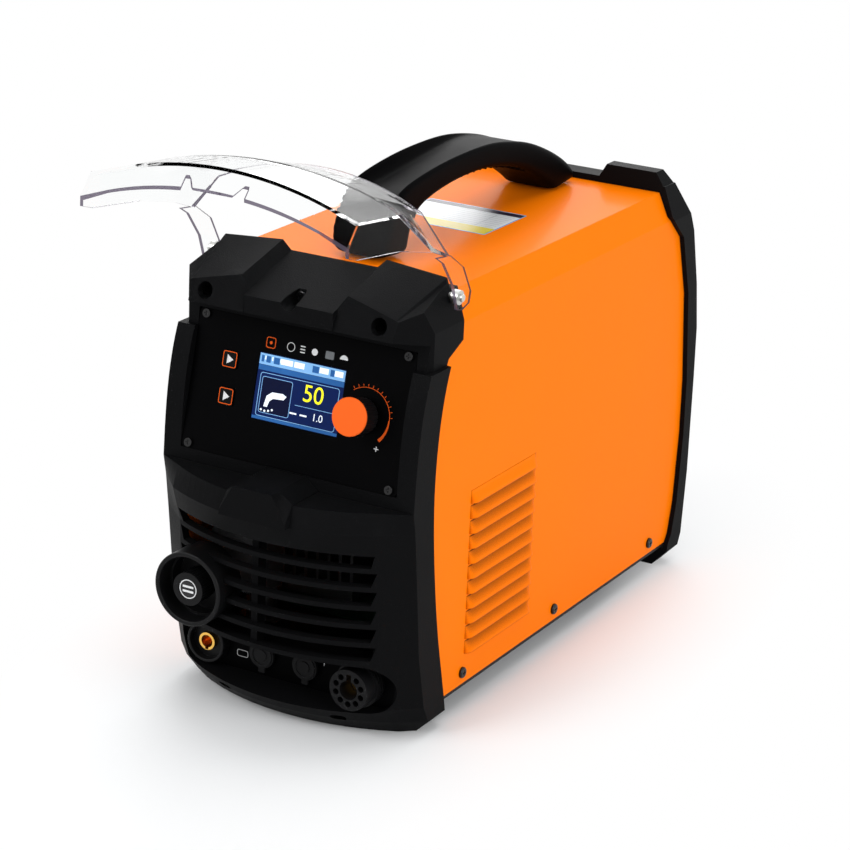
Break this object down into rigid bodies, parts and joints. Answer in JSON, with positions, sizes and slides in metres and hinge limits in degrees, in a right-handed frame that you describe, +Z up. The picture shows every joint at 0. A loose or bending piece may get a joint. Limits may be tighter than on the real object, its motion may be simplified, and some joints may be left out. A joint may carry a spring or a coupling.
{
  "type": "plasma cutter unit",
  "caption": "Portable air plasma cutter power source: folded sheet cover between moulded bezels, tilted control panel under a folding clear visor, sockets, carrying handle.",
  "frame": {"origin": "middle of the overall box, with the visor lifted, on the floor", "axes": "+Z up, front towards -Y, +X to the right seen from the front"},
  "size_m": [0.1996, 0.552, 0.4047],
  "materials": {
    "bezel_plastic": "fine-textured moulded",
    "cover_paint": "satin powder coat",
    "panel_black": "smooth satin",
    "black_plastic": "moulded",
    "key_cap": "gloss with printed ring",
    "knob_orange": "moulded",
    "badge": "printed",
    "display": "lit screen",
    "lens_clear": "clear",
    "visor_clear": "clear polycarbonate",
    "rubber": "matte",
    "brass": "machined",
    "screw_black": "black zinc",
    "steel": "zinc plated",
    "tray_steel": "powder coat",
    "circuit_board": "solder mask",
    "heat_sink": "extruded",
    "ferrite": "ferrite",
    "copper_winding": "enamelled wire",
    "capacitor_sleeve": "sleeved",
    "cast_alloy": "cast"
  },
  "bodies": {
    "chassis": {"front_bezel": "bezel_plastic", "brow_screws": "screw_black", "control_panel": "panel_black", "panel_screws": "screw_black", "display_module": "display", "display_lens": "lens_clear", "control_board": "circuit_board", "board_spacers": "steel", "key_switches": "black_plastic", "encoder_body": "black_plastic", "encoder_nut": "steel", "visor_pins": "steel", "regulator_cup": "black_plastic", "regulator_body": "cast_alloy", "socket_panel": "panel_black", "earth_socket_collar": "black_plastic", "earth_socket_contact": "brass", "signal_socket_left": "black_plastic", "signal_socket_right": "black_plastic", "torch_socket_body": "black_plastic", "torch_socket_contact": "brass", "torch_socket_nut": "steel", "cover": "cover_paint", "louvre_hoods": "cover_paint", "cover_screws": "screw_black", "handle": "bezel_plastic", "handle_screws": "screw_black", "rear_bezel": "bezel_plastic", "rear_panel": "panel_black", "rear_panel_screws": "screw_black", "fan_frame": "black_plastic", "fan_guard": "steel", "power_switch_body": "black_plastic", "cable_gland": "black_plastic", "air_inlet": "brass", "ground_stud": "steel", "chassis_tray": "tray_steel", "main_board": "circuit_board", "heat_sinks": "heat_sink", "transformer_core": "ferrite", "transformer_winding": "copper_winding", "capacitors": "capacitor_sleeve", "output_choke": "ferrite", "solenoid_valve": "cast_alloy", "air_hose": "rubber"},
    "visor": {"visor": "visor_clear"},
    "encoder_press": {"encoder_plunger": "steel"},
    "current_knob": {"encoder_shaft": "steel", "knob_skirt": "black_plastic", "knob_cap": "knob_orange"},
    "cut_mode_key": {"cut_mode_key": "key_cap"},
    "air_test_key": {"air_test_key": "key_cap"},
    "dust_cap_left": {"dust_cap_left": "rubber"},
    "dust_cap_right": {"dust_cap_right": "rubber"},
    "regulator_sleeve": {"regulator_sleeve": "steel"},
    "regulator_knob": {"regulator_spindle": "steel", "regulator_knob": "black_plastic", "regulator_badge": "badge"},
    "power_switch_rocker": {"power_switch_rocker": "black_plastic"},
    "fan_rotor": {"fan_rotor": "black_plastic"}
  },
  "joints": [
    {"name": "visor_hinge", "type": "hinge", "parent": "chassis", "child": "visor", "pos_m": [0, -0.129, 0.306], "axis": [1, 0, 0], "range_deg": [-10, 84]},
    {"name": "encoder_press", "type": "slide", "parent": "chassis", "child": "encoder_press", "axis": [0, 0.973, -0.231], "range_m": [0, 0.0005], "stiffness_N_per_m": 2500, "springref_m": -0.001},
    {"name": "current_knob_turn", "type": "hinge", "parent": "encoder_press", "child": "current_knob", "pos_m": [0.0525, -0.1704, 0.227], "axis": [0, -0.973, 0.231], "continuous": true},
    {"name": "cut_mode_key_press", "type": "slide", "parent": "chassis", "child": "cut_mode_key", "axis": [0, 0.973, -0.231], "range_m": [0, 0.0008], "stiffness_N_per_m": 1200, "springref_m": -0.001},
    {"name": "air_test_key_press", "type": "slide", "parent": "chassis", "child": "air_test_key", "axis": [0, 0.973, -0.231], "range_m": [0, 0.0008], "stiffness_N_per_m": 1200, "springref_m": -0.001},
    {"name": "dust_cap_left_flip", "type": "hinge", "parent": "chassis", "child": "dust_cap_left", "pos_m": [-0.022, -0.1719, 0.0248], "axis": [1, 0, 0], "range_deg": [0, 100]},
    {"name": "dust_cap_right_flip", "type": "hinge", "parent": "chassis", "child": "dust_cap_right", "pos_m": [0.013, -0.1719, 0.0248], "axis": [1, 0, 0], "range_deg": [0, 100]},
    {"name": "regulator_pull", "type": "slide", "parent": "chassis", "child": "regulator_sleeve", "axis": [0, -1, 0], "range_m": [0, 0.004]},
    {"name": "regulator_turn", "type": "hinge", "parent": "regulator_sleeve", "child": "regulator_knob", "pos_m": [-0.0567, -0.2, 0.092], "axis": [0, -1, 0], "range_deg": [-360, 360]},
    {"name": "power_switch_rock", "type": "hinge", "parent": "chassis", "child": "power_switch_rocker", "pos_m": [0.064, 0.2305, 0.205], "axis": [1, 0, 0], "range_deg": [-18, 0]},
    {"name": "fan_spin", "type": "hinge", "parent": "chassis", "child": "fan_rotor", "pos_m": [-0.014, 0.22, 0.168], "axis": [0, 1, 0], "continuous": true}
  ]
}
